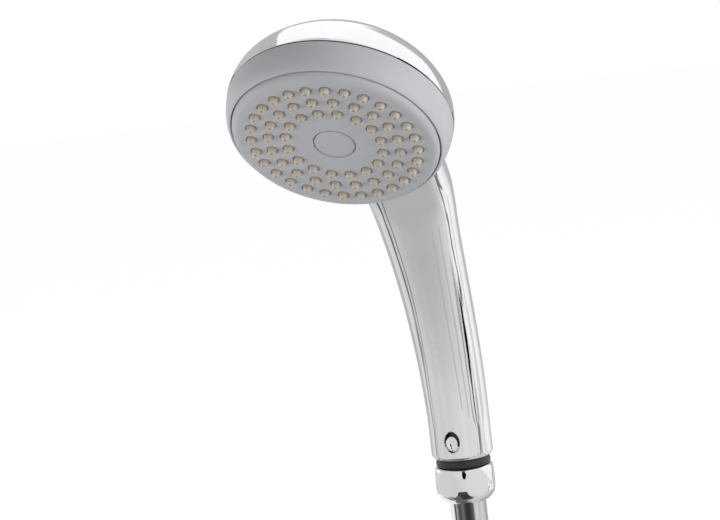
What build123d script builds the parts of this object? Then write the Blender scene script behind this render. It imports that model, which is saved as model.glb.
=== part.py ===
"""Handheld shower head with an air-drawing jet: curved chromed handle, round spray
head, screwed hose connector, and the swivel nut and end sleeve of its hose.

Frame: millimetres. The origin is the centre of the handle's end face, +Z runs up the
handle's straight lower axis, the spray leaves towards -Y and down, and X = 0 is the
mirror plane. Pieces of the spray head are modelled in the head's own frame, whose
origin is the centre of the face, +Z the way the water leaves and +Y towards the far
rim, and are then placed.
"""
from build123d import *
from math import cos, radians, sin
import os

os.makedirs("parts", exist_ok=True)

# ---------------------------------------------------------------- driving dimensions
# Handle
END_R = 13.05           # straight lower end, where a wall holder grips
SEAT_LEN = 16.0         # length of that straight end
HANDLE_RISE = 117.45    # height of the neck, where the handle meets the head
HANDLE_LEAN = 31.1      # how far forward the neck has curved by then
CURVE_POWER = 1.66      # how late the handle's curve sets in
NECK_HALF_W = 18.0      # half width of the handle at the neck
NECK_FLATTEN = 0.20     # share by which the neck is shallower than it is wide
WALL = 2.4              # moulded wall of the chromed shell
END_ROUND = 1.6         # rounding of the handle's end

# Head
FACE_TILT = 46.0        # angle between the face and the handle's lower axis
HEAD_R = 42.7           # head radius at the seam between chrome and face ring
NECK_REACH = 32.6       # from the head's rim back to the top of the handle, along the face
SEAM_DEPTH = 13.9       # seam behind the face
DOME_DEPTH = 31.5       # chrome dome behind the seam
RING_SPIGOT = 2.5       # how far the face ring enters the shell
GROOVE_R = HEAD_R - 3.8  # shadow groove between spray plate and face ring
EDGE_DROP = 2.2         # how far the plate's rounded edge falls back
PLATE_T = 2.4
MAT_T = 1.75
PLATE_RIM = 3.7         # width of the wall round the back of the spray plate
PLATE_RIM_T = 2.8       # how far that wall stands past the mat
CHAMBER_DEPTH = 9.0     # water space behind the nozzle mat
CHAMBER_WALL = 2.0
CLAMP_T = 2.6           # width of the chamber's edge that holds the mat down

# Nozzles: three rings, radius as a share of the groove's radius and number in each
NOZZLE_RINGS = ((0.797, 28), (0.630, 20), (0.465, 16))
NOZZLE_STAND = 1.8      # height above the face
NOZZLE_TIP_R = 1.35
NOZZLE_ROOT_R = 1.6
NOZZLE_BORE_R = 0.45
NOZZLE_HOLE_R = 1.8     # hole in the plate
NOZZLE_POCKET_R = 2.15  # shallow pocket round each hole
NOZZLE_POCKET_T = 0.7

# Centre fixing
CAP_R = 7.6
CAP_T = 1.4
SCREW_R = 1.95
SCREW_HEAD_R = 4.1
SCREW_HEAD_T = 2.4
SCREW_GRIP = 14.0       # thread length in the boss
SCREW_CLEAR = 0.25      # radial clearance where a screw passes through
CUP_WALL = 1.6          # wall of the cup that holds the screw's head
CUP_FLOOR = 1.2
BOSS_R = 3.6
PLATE_SCREWS = 6
PLATE_SCREW_R = 0.8
PLATE_SCREW_HEAD_R = 1.5
PLATE_SCREW_HEAD_T = 1.0
PLATE_SCREW_GRIP = 3.8

# Waterway
TUBE_R = 5.0
TUBE_BORE_R = 3.6
TUBE_BENDS = (45, 130, 25)
SPOUT_R = 6.9
SPOUT_SHARE = 26 / 42.7  # where the spout starts, as a share of the head's radius
SPOUT_DEPTH_SHARE = 2 / 7  # and as a share of the dome's depth behind the seam
SOCKET_DEPTH = 11.0
SEAL = 1.6              # section of the O-rings
THIN_SEAL = 0.8
RING_SET = 4.5          # how far inside a socket's mouth its O-ring sits
AIR_HOLE_R = 3.3
AIR_HOLE_Z = 8.6
AIR_HOLE_TILT = 40.0    # the air hole climbs inward at this angle

# Hose connector, G1/2 thread (20.955 mm major diameter, 1.814 mm pitch)
THREAD_R = 10.4775
THREAD_LEN = 7.4
COLLAR_R = 11.55
COLLAR_T = 3.4
PILOT_LEN = 4.6
CONNECTOR_BORE_R = 4.6
REGULATOR_R = 7.3
REGULATOR_T = 3.6
FILTER_T = 0.8
STREAM_HOLE_R = 0.75

# Hose end
NUT_R = 13.0            # barrel radius; it passes through a holder that fits END_R
NUT_ACROSS_FLATS = 23.9
NUT_H = 15.0
NUT_WIDEST = 6.9        # how far below its top the nut is widest
NUT_TOP_R = 11.6
NUT_FOOT_R = 9.3
NUT_TURNED = -20.0      # azimuth of one flat, from -Y towards +X
WASHER_T = 2.0
FLANGE_T = 2.2
SLIP_T = 0.6
SLEEVE_R = 7.75
SLEEVE_BORE_R = 7.1     # open socket at the foot, where the hose goes in
SLEEVE_THROAT_R = 6.8   # bore above the socket, round the barb
SLEEVE_FOOT_Z = -45.0
SOCKET_LEN = 13.0
BARB_R = 5.2
BARB_BORE_R = 3.6
BARB_FOOT_Z = -31.0
BARBS = 4
BARB_STEP = 0.7

# Fits
RUN = 0.05              # radial running clearance of turning pieces
GAP = 0.05              # clearance of seated pieces within the handset
FACE_GAP = 0.3          # gap between faces that turn past each other
SEAT_GAP = 0.1          # gap at the hose washer's seat

# ---------------------------------------------------------------- shared helpers
LOW = (Align.CENTER, Align.CENTER, Align.MIN)
TILT_COS = cos(radians(FACE_TILT))
TILT_SIN = sin(radians(FACE_TILT))
REACH = HEAD_R + NECK_REACH
NECK_DEPTH = SEAM_DEPTH + 0.685 * DOME_DEPTH
FACE_Y = -HANDLE_LEAN - REACH * TILT_SIN - NECK_DEPTH * TILT_COS
FACE_Z = HANDLE_RISE + REACH * TILT_COS - NECK_DEPTH * TILT_SIN
HEAD = Plane(origin=(0, FACE_Y, FACE_Z), x_dir=(1, 0, 0), z_dir=(0, -TILT_COS, -TILT_SIN))


def rod(radius, low, high):
    """Upright cylinder between two heights."""
    return Pos(0, 0, low) * Cylinder(radius, high - low, align=LOW)


def pipe(outer, inner, low, high):
    return rod(outer, low, high) - rod(inner, low - 1, high + 1)


def cone(low_r, high_r, low, high):
    return Pos(0, 0, low) * Cone(low_r, high_r, high - low, align=LOW)


def turned(*edges):
    """Solid of revolution about Z from edges of a closed outline in the XZ plane."""
    return revolve(make_face(Curve() + list(edges)), Axis.Z)


def o_ring(inner_r, section, height):
    return Pos(0, 0, height) * Torus(inner_r + section / 2, section / 2)


def ring_groove(outer, inner, height, section=SEAL):
    """Groove for an O-ring whose section is centred at a height."""
    half = section / 2 + GAP
    return pipe(outer, inner, height - half, height + half)


def on_ring(radius, count, piece):
    """Copies of one piece spaced round a circle."""
    return [place * piece for place in PolarLocations(radius, count)]


def head_point(along, depth):
    """Y and Z in the row frame of a point `along` the face towards the handle."""
    spot = HEAD.from_local_coords(Vector(0, -along, depth))
    return spot.Y, spot.Z


def save(node, piece, place=None):
    shape = piece if place is None else place.location * piece
    shape.label = node
    export_step(shape, f"parts/{node}.step")


# ---------------------------------------------------------------- chromed shell
def spine_y(height):
    """Y of the handle's centre line at a height above its end."""
    rise = (height - SEAT_LEN) / (HANDLE_RISE - SEAT_LEN)
    return -HANDLE_LEAN * max(rise, 0) ** CURVE_POWER


def handle_stations():
    """Y, Z, half width and half depth of the handle from its straight end to the neck."""
    stations = []
    for step in range(6):
        rise = step / 5  # six stations, evenly spaced
        height = SEAT_LEN + (HANDLE_RISE - SEAT_LEN) * rise
        half_w = END_R + (NECK_HALF_W - END_R) * (0.4 * rise + 0.6 * rise**4)
        half_d = half_w * (1 - NECK_FLATTEN * rise**3)
        stations.append((spine_y(height), height, half_w, half_d))
    return stations


# The neck over the head, as shares of the head's radius and of the dome's depth:
# distance from the head's axis, depth of the back line behind the seam, half width
# and half depth.
NECK = (
    (1.29, 1.114, 0.460, 0.438),
    (0.86, 1.092, 0.490, 0.420),
    (0.43, 1.050, 0.490, 0.360),
    (0.00, 0.985, 0.450, 0.260),
)
PER_STATION = 4         # cross sections from one station to the next


def neck_stations():
    stations = []
    for along, back, half_w, half_d in NECK:
        depth = SEAM_DEPTH + DOME_DEPTH * (back - half_d)
        y, z = head_point(along * HEAD_R, -depth)
        stations.append((y, z, half_w * HEAD_R, half_d * DOME_DEPTH))
    return stations


def between(stations, place):
    """Smooth curve through the stations; place counts them from 0."""
    last = len(stations) - 1
    at = min(int(place), last - 1)
    t = place - at
    picks = [stations[max(0, min(last, at + step))] for step in (-1, 0, 1, 2)]
    values = []
    for a, b, c, d in zip(*picks):
        turn = (2 * a - 5 * b + 4 * c - d) / 2
        ease = (3 * b - a - 3 * c + d) / 2
        values.append(b + t * (c - a) / 2 + t**2 * turn + t**3 * ease)
    return values


def shell_sections(grow):
    """Cross sections square to the centre line, larger all round by `grow`."""
    foot = (0, 2 * SEAT_LEN - handle_stations()[1][1], END_R, END_R)
    stations = [foot] + handle_stations() + neck_stations()
    sections = []
    for step in range(PER_STATION, PER_STATION * (len(stations) - 1) + 1):
        place = step / PER_STATION
        y, z, half_w, half_d = between(stations, place)
        ahead = between(stations, place + 0.02)
        behind = between(stations, place - 0.02)
        along = (0, ahead[0] - behind[0], ahead[1] - behind[1])
        if step == PER_STATION:
            along = (0, 0, 1)
        plane = Plane(origin=(0, y, z), x_dir=(1, 0, 0), z_dir=along)
        sections.append(plane * Ellipse(half_w + grow, half_d + grow))
    return sections


def dome(radius, depth):
    """Half of a flattened ball behind the seam, in the head's frame."""
    points = [(radius * sin(radians(a)), -depth * cos(radians(a))) for a in (0, 30, 60, 90)]
    arc = Spline(*points, tangents=((1, 0), (0, 1)))
    outline = Curve() + [arc, Line((radius, 0), (0, 0)), Line((0, 0), (0, -depth))]
    return Pos(0, 0, -SEAM_DEPTH) * revolve(make_face(Plane.XZ * outline), Axis.Z)


def shell_form(grow):
    form = rod(END_R + grow, 0, SEAT_LEN)
    form += loft(shell_sections(grow))
    form += HEAD.location * dome(HEAD_R + grow, DOME_DEPTH + grow)
    return form


def handle_shell():
    outer = shell_form(0)
    end_edge = outer.edges().sort_by(Axis.Z)[0]
    outer = fillet(end_edge, END_ROUND)
    shell = outer - shell_form(-WALL) - rod(END_R - WALL, -1, SEAT_LEN)
    boss_low = -(SEAM_DEPTH + DOME_DEPTH - WALL)
    boss = rod(BOSS_R, boss_low - 1, CHAMBER_BACK - GAP)
    boss -= rod(SCREW_R + GAP, CHAMBER_BACK - SCREW_GRIP - 1, CHAMBER_BACK)
    shell += HEAD.location * boss
    tilt = Rot(X=-(90 - AIR_HOLE_TILT))
    bore = Pos(0, -END_R, AIR_HOLE_Z) * tilt * Pos(0, 0, -8) * Cylinder(AIR_HOLE_R, 14, align=LOW)
    return shell - bore


# ---------------------------------------------------------------- spray head
PLATE_R = GROOVE_R - 0.3
MAT_TOP = -PLATE_T - GAP
MAT_LOW = MAT_TOP - MAT_T
RIM_LOW = MAT_LOW - PLATE_RIM_T
CHAMBER_BACK = MAT_LOW - CHAMBER_DEPTH - CHAMBER_WALL
FLANGE_LOW = RIM_LOW - CHAMBER_WALL
CLAMP_R = PLATE_R - PLATE_RIM
CLAMP_IN = CLAMP_R - CLAMP_T
COLUMN_R = 5.0
CUP_R = SCREW_HEAD_R + CUP_WALL
CUP_LOW = -CAP_T - SCREW_HEAD_T - CUP_FLOOR
CHAMBER_SEAL_Z = MAT_LOW - 1.6
SPOUT_Z = -SEAM_DEPTH - SPOUT_DEPTH_SHARE * DOME_DEPTH


def nozzle_spots():
    spots = []
    for share, count in NOZZLE_RINGS:
        spots += list(PolarLocations(share * GROOVE_R, count, 90))
    return spots


def screw_spots():
    return list(PolarLocations(PLATE_R - PLATE_RIM / 2, PLATE_SCREWS, 30))


def spray_plate():
    edge_r = PLATE_R - EDGE_DROP
    front = [
        Line((0, 0, 0), (edge_r, 0, 0)),
        Plane.XZ * CenterArc((edge_r, -EDGE_DROP), EDGE_DROP, 0, 90),
        Line((PLATE_R, 0, -EDGE_DROP), (PLATE_R, 0, RIM_LOW)),
        Line((PLATE_R, 0, RIM_LOW), (CLAMP_R, 0, RIM_LOW)),
        Line((CLAMP_R, 0, RIM_LOW), (CLAMP_R, 0, -PLATE_T)),
        Line((CLAMP_R, 0, -PLATE_T), (0, 0, -PLATE_T)),
        Line((0, 0, -PLATE_T), (0, 0, 0)),
    ]
    plate = turned(*front)
    plate += rod(CUP_R, CUP_LOW, -1)
    plate -= rod(CAP_R + SCREW_CLEAR, -CAP_T, 1)
    plate -= rod(SCREW_HEAD_R + SCREW_CLEAR, -CAP_T - SCREW_HEAD_T, 0)
    plate -= rod(SCREW_R + SCREW_CLEAR, CUP_LOW - 1, 0)
    holes = [spot * rod(NOZZLE_HOLE_R, -PLATE_T - 1, 1) for spot in nozzle_spots()]
    holes += [spot * rod(NOZZLE_POCKET_R, -NOZZLE_POCKET_T, 1) for spot in nozzle_spots()]
    pilot = rod(PLATE_SCREW_R + GAP, RIM_LOW - 1, RIM_LOW + PLATE_SCREW_GRIP + 0.4)
    holes += [spot * pilot for spot in screw_spots()]
    return plate - holes


def nozzle_mat():
    mat = pipe(CLAMP_R - GAP, CUP_R + GAP, MAT_LOW, MAT_TOP)
    nozzle = cone(NOZZLE_ROOT_R, NOZZLE_TIP_R, MAT_TOP - 0.5, NOZZLE_STAND)
    mat += [spot * nozzle for spot in nozzle_spots()]
    return mat - [spot * rod(NOZZLE_BORE_R, MAT_LOW - 1, NOZZLE_STAND + 1) for spot in nozzle_spots()]


def spout_line():
    """Ends of the straight run of the waterway at the head, in the head's frame."""
    low = Vector(0, -SPOUT_SHARE * HEAD_R, SPOUT_Z)
    high = Vector(0, -HEAD_R - 18.8, -SEAM_DEPTH - 0.965 * DOME_DEPTH)
    return low, high


def water_chamber():
    water_low = CHAMBER_BACK + CHAMBER_WALL
    pot = pipe(CLAMP_R - GAP, CLAMP_IN, RIM_LOW - GAP, MAT_LOW - GAP)
    pot += pipe(PLATE_R, CLAMP_IN, FLANGE_LOW, RIM_LOW - GAP)
    pot += pipe(CLAMP_IN + 1.0, CLAMP_IN - 1.4, CHAMBER_BACK, RIM_LOW)
    pot += rod(CLAMP_IN, CHAMBER_BACK, water_low)
    pot += rod(COLUMN_R, CHAMBER_BACK, CUP_LOW - GAP)
    pot -= ring_groove(CLAMP_R + 1, CLAMP_R - SEAL - GAP, CHAMBER_SEAL_Z)
    low, high = spout_line()
    along = Plane(origin=low, z_dir=(high - low).normalized())
    spout = along * rod(SPOUT_R, -16, SOCKET_DEPTH)
    spout -= rod(HEAD_R, water_low - 1, 20)
    pot += spout
    pot -= along * rod(TUBE_R + GAP, 0, SOCKET_DEPTH + 1)
    pot -= along * rod(TUBE_BORE_R, -9, 1)
    pot -= along * ring_groove(TUBE_R + SEAL, 1, SOCKET_DEPTH - RING_SET)
    pot -= rod(SCREW_R + SCREW_CLEAR, CHAMBER_BACK - 1, 0)
    hole_r = PLATE_SCREW_R + SCREW_CLEAR
    return pot - [spot * rod(hole_r, FLANGE_LOW - 1, RIM_LOW + 1) for spot in screw_spots()]


def chamber_seal():
    return o_ring(CLAMP_R - SEAL - GAP / 2, SEAL, CHAMBER_SEAL_Z)


def plate_screws():
    head_low = FLANGE_LOW - PLATE_SCREW_HEAD_T
    screw = rod(PLATE_SCREW_R, FLANGE_LOW, RIM_LOW + PLATE_SCREW_GRIP)
    screw += rod(PLATE_SCREW_HEAD_R, head_low, FLANGE_LOW)
    slot = Pos(0, 0, head_low) * Box(1.9, 0.45, 0.8)
    return Compound(children=[spot * (screw - slot) for spot in screw_spots()])


def face_ring():
    seam = -SEAM_DEPTH
    ledge_r = PLATE_R - 2.2
    inner_r = PLATE_R + GAP
    lip_r = GROOVE_R + 0.35
    lip_z = -EDGE_DROP - 0.1
    spigot_r = HEAD_R - WALL - 0.35
    outer = Spline(
        (lip_r, 0, lip_z),
        (HEAD_R - 1.9, 0, -4.7),
        (HEAD_R - 0.75, 0, -8.4),
        (HEAD_R, 0, seam),
    )
    corners = [
        (HEAD_R, 0, seam),
        (spigot_r, 0, seam),
        (spigot_r, 0, seam - RING_SPIGOT),
        (ledge_r, 0, seam - RING_SPIGOT),
        (ledge_r, 0, FLANGE_LOW - GAP),
        (inner_r, 0, FLANGE_LOW - GAP),
        (inner_r, 0, lip_z - 0.8),
        (lip_r, 0, lip_z),
    ]
    ring = turned(outer, Polyline(*corners))
    pocket_low = FLANGE_LOW - PLATE_SCREW_HEAD_T - FACE_GAP
    pocket = rod(PLATE_SCREW_HEAD_R + SCREW_CLEAR, pocket_low, FLANGE_LOW)
    return ring - [spot * pocket for spot in screw_spots()]


def centre_screw():
    head_low = -CAP_T - SCREW_HEAD_T + THIN_SEAL
    screw = rod(SCREW_HEAD_R, head_low, -CAP_T - 0.1)
    screw += rod(SCREW_R, CHAMBER_BACK - SCREW_GRIP, head_low)
    slot = Pos(0, 0, -CAP_T) * Box(1.0, 5.6, 1.6)
    return screw - slot - Rot(Z=90) * slot


def screw_seal():
    seat = -CAP_T - SCREW_HEAD_T
    return pipe(SCREW_HEAD_R - 0.3, SCREW_R + GAP, seat, seat + THIN_SEAL - GAP)


def centre_cap():
    crown = 0.5
    ball_r = (CAP_R**2 + crown**2) / (2 * crown)
    cap = rod(CAP_R, -CAP_T + GAP, crown)
    return cap & Pos(0, 0, crown - ball_r) * Sphere(ball_r)


# ---------------------------------------------------------------- waterway in the handle
MIXER_LOW = PILOT_LEN + 0.4
MIXER_TOP = 28.0
MIXER_R = 8.6
NIPPLE_R = 6.6          # stub of the connector that the air mixer sits on
NIPPLE_TOP = 9.0
NIPPLE_WALL = 1.3
JET_LOW = 2.0
JET_TOP = 12.2
JET_BORE_R = 1.3
JET_RING_Z = 5.5
MIX_TOP = 15.0          # top of the open space round the jet
TUBE_LOW = 17.0
LOWER_RING_Z = MIXER_TOP - 5.0
JET_R = NIPPLE_R - NIPPLE_WALL
WINDOW_W = 5.2
WINDOW_H = 4.6


def mixing_tube():
    low, high = spout_line()
    end = HEAD.from_local_coords(low)
    elbow = HEAD.from_local_coords(high)
    bend = 75.0
    route = FilletPolyline(
        (0, 0, TUBE_LOW),
        (0, 0, TUBE_LOW * 2),
        (0, spine_y(bend), bend),
        elbow,
        end + (elbow - end).normalized() * GAP,
        radius=TUBE_BENDS,
    )
    start = Plane(origin=(0, 0, TUBE_LOW), z_dir=(0, 0, 1))
    return sweep(start * Circle(TUBE_R), route) - sweep(start * Circle(TUBE_BORE_R), route)


def tube_upper_oring():
    low, high = spout_line()
    along = Plane(origin=low, z_dir=(high - low).normalized())
    return along * o_ring(TUBE_R + GAP / 2, SEAL - GAP, SOCKET_DEPTH - RING_SET)


def tube_lower_oring():
    return o_ring(TUBE_R + GAP / 2, SEAL - GAP, LOWER_RING_Z)


def air_mixer():
    """Cage that holds the tube over the jet and lets air in through four windows."""
    cage = rod(MIXER_R, MIXER_LOW, MIXER_TOP)
    cage -= rod(NIPPLE_R + GAP, MIXER_LOW - 1, MIX_TOP)
    cage -= rod(TUBE_R + GAP, TUBE_LOW - GAP, MIXER_TOP + 1)
    cage -= cone(NIPPLE_R, TUBE_BORE_R, MIX_TOP, TUBE_LOW - GAP)
    cage -= ring_groove(TUBE_R + SEAL, 1, LOWER_RING_Z)
    window = Pos(0, 0, NIPPLE_TOP + 0.5) * Box(WINDOW_W, 4 * MIXER_R, WINDOW_H, align=LOW)
    return cage - window - Rot(Z=90) * window


def jet_nozzle():
    jet = rod(JET_R - GAP, JET_LOW, NIPPLE_TOP)
    jet += cone(2 * JET_BORE_R + 1, 2 * JET_BORE_R, NIPPLE_TOP, JET_TOP)
    jet -= cone(3 * JET_BORE_R, JET_BORE_R, JET_LOW - 0.01, NIPPLE_TOP)
    jet -= rod(JET_BORE_R, NIPPLE_TOP - 0.1, JET_TOP + 1)
    return jet - ring_groove(NIPPLE_R, JET_R - THIN_SEAL - GAP, JET_RING_Z, THIN_SEAL)


def jet_oring():
    return o_ring(JET_R - THIN_SEAL - GAP / 2, THIN_SEAL, JET_RING_Z)


# ---------------------------------------------------------------- hose connector
THREAD_LOW = -COLLAR_T - THREAD_LEN
PILOT_RING_Z = PILOT_LEN / 2
PILOT_R = END_R - WALL - GAP
REGULATOR_SEAT = THREAD_LOW + REGULATOR_T + 1.0


def hose_connector():
    body = rod(COLLAR_R, -COLLAR_T, 0)
    body += rod(THREAD_R, THREAD_LOW, -COLLAR_T)
    body += rod(PILOT_R, 0, PILOT_LEN)
    body += rod(NIPPLE_R, PILOT_LEN, NIPPLE_TOP)
    body -= rod(CONNECTOR_BORE_R, THREAD_LOW - 1, JET_LOW + 1)
    body -= rod(JET_R, JET_LOW, NIPPLE_TOP + 1)
    body -= rod(REGULATOR_R + GAP, THREAD_LOW - 1, REGULATOR_SEAT)
    return body - ring_groove(PILOT_R + 1, PILOT_R - SEAL - GAP, PILOT_RING_Z)


def connector_oring():
    return o_ring(PILOT_R - SEAL - GAP / 2, SEAL, PILOT_RING_Z)


CORE_R = 2.4            # core of the regulator, inside its ring


def flow_regulator():
    body = rod(REGULATOR_R, THREAD_LOW + 1.0, REGULATOR_SEAT - GAP)
    body -= pipe(REGULATOR_R - 1.2, CORE_R, THREAD_LOW, THREAD_LOW + 3.2)
    return body - on_ring(CORE_R + 1.5, 10, rod(STREAM_HOLE_R, THREAD_LOW, REGULATOR_SEAT + 1))


def regulator_ring():
    return o_ring(CORE_R + GAP, 1.7, THREAD_LOW + 2.2)


def inlet_filter():
    disc = rod(REGULATOR_R, THREAD_LOW + 0.1, THREAD_LOW + 0.1 + FILTER_T)
    hole = rod(STREAM_HOLE_R, THREAD_LOW - 1, THREAD_LOW + 2)
    return disc - on_ring(5.2, 14, hole) - on_ring(2.7, 7, hole) - hole


# ---------------------------------------------------------------- hose end
WASHER_TOP = THREAD_LOW - SEAT_GAP
FLANGE_TOP = WASHER_TOP - WASHER_T - SEAT_GAP
FLANGE_FOOT = FLANGE_TOP - FLANGE_T
SLIP_TOP = FLANGE_FOOT - SEAT_GAP
SHOULDER_TOP = SLIP_TOP - SLIP_T - SEAT_GAP
NUT_TOP = -COLLAR_T - FACE_GAP
NUT_FOOT = NUT_TOP - NUT_H
SLEEVE_TOP = NUT_FOOT + 1.6
INSIDE_R = THREAD_R - 0.5


def swivel_nut():
    middle = NUT_TOP - NUT_WIDEST
    side = Spline(
        (NUT_TOP_R, 0, NUT_TOP),
        (NUT_R, 0, middle),
        (NUT_R - 1.0, 0, NUT_FOOT + 3.0),
        (NUT_FOOT_R, 0, NUT_FOOT),
    )
    rest = Polyline((NUT_FOOT_R, 0, NUT_FOOT), (0, 0, NUT_FOOT), (0, 0, NUT_TOP), (NUT_TOP_R, 0, NUT_TOP))
    barrel = turned(side, rest)
    flats = RegularPolygon(NUT_ACROSS_FLATS / 2, 6, major_radius=False, rotation=0)
    prism = extrude(Pos(0, 0, NUT_FOOT - 1) * flats, NUT_H + 2)
    nut = barrel & Rot(Z=NUT_TURNED) * prism
    nut -= rod(THREAD_R + RUN, SHOULDER_TOP, NUT_TOP + 1)
    return nut - rod(SLEEVE_R + FACE_GAP, NUT_FOOT - 1, NUT_TOP)


def hose_washer():
    return pipe(INSIDE_R, 5.0, WASHER_TOP - WASHER_T, WASHER_TOP)


def slip_ring():
    return pipe(INSIDE_R, SLEEVE_R + FACE_GAP, SLIP_TOP - SLIP_T, SLIP_TOP)


def hose_tail():
    tail = rod(INSIDE_R, FLANGE_FOOT, FLANGE_TOP) + rod(BARB_R, SLEEVE_TOP - 2, FLANGE_FOOT)
    barb_h = (SLEEVE_TOP - 2 - BARB_FOOT_Z) / BARBS
    for step in range(BARBS):
        foot = BARB_FOOT_Z + step * barb_h
        tail += cone(BARB_R - BARB_STEP, BARB_R, foot, foot + barb_h)
    return tail - rod(BARB_BORE_R, BARB_FOOT_Z - 1, FLANGE_TOP + 1)


def hose_sleeve():
    sleeve = rod(SLEEVE_R, SLEEVE_FOOT_Z, SLEEVE_TOP)
    sleeve -= rod(BARB_R + GAP, SLEEVE_FOOT_Z, SLEEVE_TOP + 1)
    sleeve -= rod(SLEEVE_THROAT_R, SLEEVE_FOOT_Z, SLEEVE_TOP - 1.5)
    return sleeve - rod(SLEEVE_BORE_R, SLEEVE_FOOT_Z - 1, SLEEVE_FOOT_Z + SOCKET_LEN)


# ---------------------------------------------------------------- write the pieces
save("handle_shell", handle_shell())
save("spray_plate", spray_plate(), HEAD)
save("nozzle_mat", nozzle_mat(), HEAD)
save("water_chamber", water_chamber(), HEAD)
save("chamber_seal", chamber_seal(), HEAD)
save("plate_screws", plate_screws(), HEAD)
save("face_ring", face_ring(), HEAD)
save("centre_screw", centre_screw(), HEAD)
save("screw_seal", screw_seal(), HEAD)
save("centre_cap", centre_cap(), HEAD)
save("mixing_tube", mixing_tube())
save("tube_upper_oring", tube_upper_oring(), HEAD)
save("tube_lower_oring", tube_lower_oring())
save("air_mixer", air_mixer())
save("jet_nozzle", jet_nozzle())
save("jet_oring", jet_oring())
save("hose_connector", hose_connector())
save("connector_oring", connector_oring())
save("flow_regulator", flow_regulator())
save("regulator_ring", regulator_ring())
save("inlet_filter", inlet_filter())
save("swivel_nut", swivel_nut())
save("hose_washer", hose_washer())
save("slip_ring", slip_ring())
save("hose_tail", hose_tail())
save("hose_sleeve", hose_sleeve())
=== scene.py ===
# %% [markdown]
# # A handheld shower head, chromed, with a grey spray face
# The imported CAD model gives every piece's place and size. This lesson gives the
# visible pieces their smooth surfaces and finishes, lights them like a small
# studio and sets the camera. Lengths are metres, so MM turns millimetres into them.

# %% Load the frame
import math

import bpy
from mathutils import Matrix, Vector


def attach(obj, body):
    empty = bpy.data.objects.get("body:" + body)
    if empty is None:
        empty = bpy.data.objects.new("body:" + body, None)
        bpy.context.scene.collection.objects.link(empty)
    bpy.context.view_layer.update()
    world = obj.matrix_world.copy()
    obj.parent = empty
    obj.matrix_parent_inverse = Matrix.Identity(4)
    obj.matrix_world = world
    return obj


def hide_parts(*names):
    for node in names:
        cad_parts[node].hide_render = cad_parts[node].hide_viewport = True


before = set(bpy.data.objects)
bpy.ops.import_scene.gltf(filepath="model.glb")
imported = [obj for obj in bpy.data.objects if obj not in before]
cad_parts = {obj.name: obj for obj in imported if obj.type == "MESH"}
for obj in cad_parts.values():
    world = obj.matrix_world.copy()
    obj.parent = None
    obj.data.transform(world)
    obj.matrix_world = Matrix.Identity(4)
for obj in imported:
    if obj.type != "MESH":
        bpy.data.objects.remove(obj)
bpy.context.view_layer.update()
MM = 0.001

# %% [markdown]
# ## Where the spray head sits
# The head is turned about X and moved off the handle. Its pieces are round, so each
# is modelled about the Z axis, as on a lathe, and placed at the end by one matrix:
# the origin is the middle of the spray face and +Z is the way the water leaves.

# %% The head's own frame
FACE_TILT = math.radians(46.0)
HEAD_R = 42.7
HANDLE_LEAN = 31.1
HANDLE_RISE = 117.45
SEAM_DEPTH = 13.9
DOME_DEPTH = 31.5
NECK_LENGTH = 32.6
NECK_SHARE = 0.685  # how deep in the dome the handle's centre line arrives
REACH = HEAD_R + NECK_LENGTH
NECK_DEPTH = SEAM_DEPTH + NECK_SHARE * DOME_DEPTH
FACE_Y = -HANDLE_LEAN - REACH * math.sin(FACE_TILT) - NECK_DEPTH * math.cos(FACE_TILT)
FACE_Z = HANDLE_RISE + REACH * math.cos(FACE_TILT) - NECK_DEPTH * math.sin(FACE_TILT)
HEAD_TURN = math.pi - math.radians(44.0)
HEAD = Matrix.Translation(Vector((0, FACE_Y, FACE_Z)) * MM) @ Matrix.Rotation(HEAD_TURN, 4, "X")
print("face centre", [round(v, 2) for v in (0, FACE_Y, FACE_Z)])

# %% [markdown]
# ## Turning a piece on the lathe
# Most pieces of a shower head are turned shapes. A circle is added at the start of
# the outline, and each next point of the outline is one extrusion of that ring,
# moved along the axis and resized. A closed outline comes back to its first point,
# where the doubled ring is merged. Working this way keeps every ring evenly spaced.


# %% Lathe and finishing helpers
def only(thing):
    """Deselects everything, then selects and activates one object."""
    if bpy.context.object and bpy.context.object.mode != "OBJECT":
        bpy.ops.object.mode_set(mode="OBJECT")
    bpy.ops.object.select_all(action="DESELECT")
    thing.select_set(True)
    bpy.context.view_layer.objects.active = thing
    return thing


POINT_R = 0.001  # a ring this small, in millimetres, is merged to a point
DOUBLED = 2e-6  # points nearer than this, in metres, are one point


def lathe(name, outline, sides=96, closed=True):
    """Solid of revolution about Z from (radius, height) points in millimetres."""
    bpy.ops.object.select_all(action="DESELECT")
    radius, height = max(outline[0][0], POINT_R), outline[0][1]
    bpy.ops.mesh.primitive_circle_add(vertices=sides, radius=radius * MM, location=(0, 0, height * MM))
    piece = bpy.context.object
    piece.name = piece.data.name = name
    bpy.ops.object.transform_apply(location=True, rotation=True, scale=True)
    bpy.ops.object.mode_set(mode="EDIT")
    bpy.ops.mesh.select_all(action="SELECT")
    rest = outline[1:] + (outline[:1] if closed else [])
    for next_radius, next_height in rest:
        step = (0, 0, (next_height - height) * MM)
        bpy.ops.mesh.extrude_edges_move(TRANSFORM_OT_translate={"value": step})
        size = max(next_radius, POINT_R) / radius
        centre = (0, 0, next_height * MM)
        bpy.ops.transform.resize(value=(size, size, 1), center_override=centre)
        radius, height = max(next_radius, POINT_R), next_height
    bpy.ops.mesh.select_all(action="SELECT")
    bpy.ops.mesh.remove_doubles(threshold=DOUBLED)
    bpy.ops.mesh.normals_make_consistent(inside=False)
    bpy.ops.object.mode_set(mode="OBJECT")
    return piece


def put(piece, place):
    """Moves a piece to its place and writes that place into its mesh."""
    only(piece)
    piece.matrix_world = place
    bpy.ops.object.transform_apply(location=True, rotation=True, scale=True)
    return piece


def soften(piece, angle=32):
    """Smooth shading, except across edges sharper than the angle."""
    only(piece)
    bpy.ops.object.shade_smooth_by_angle(angle=math.radians(angle))
    return piece


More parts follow.
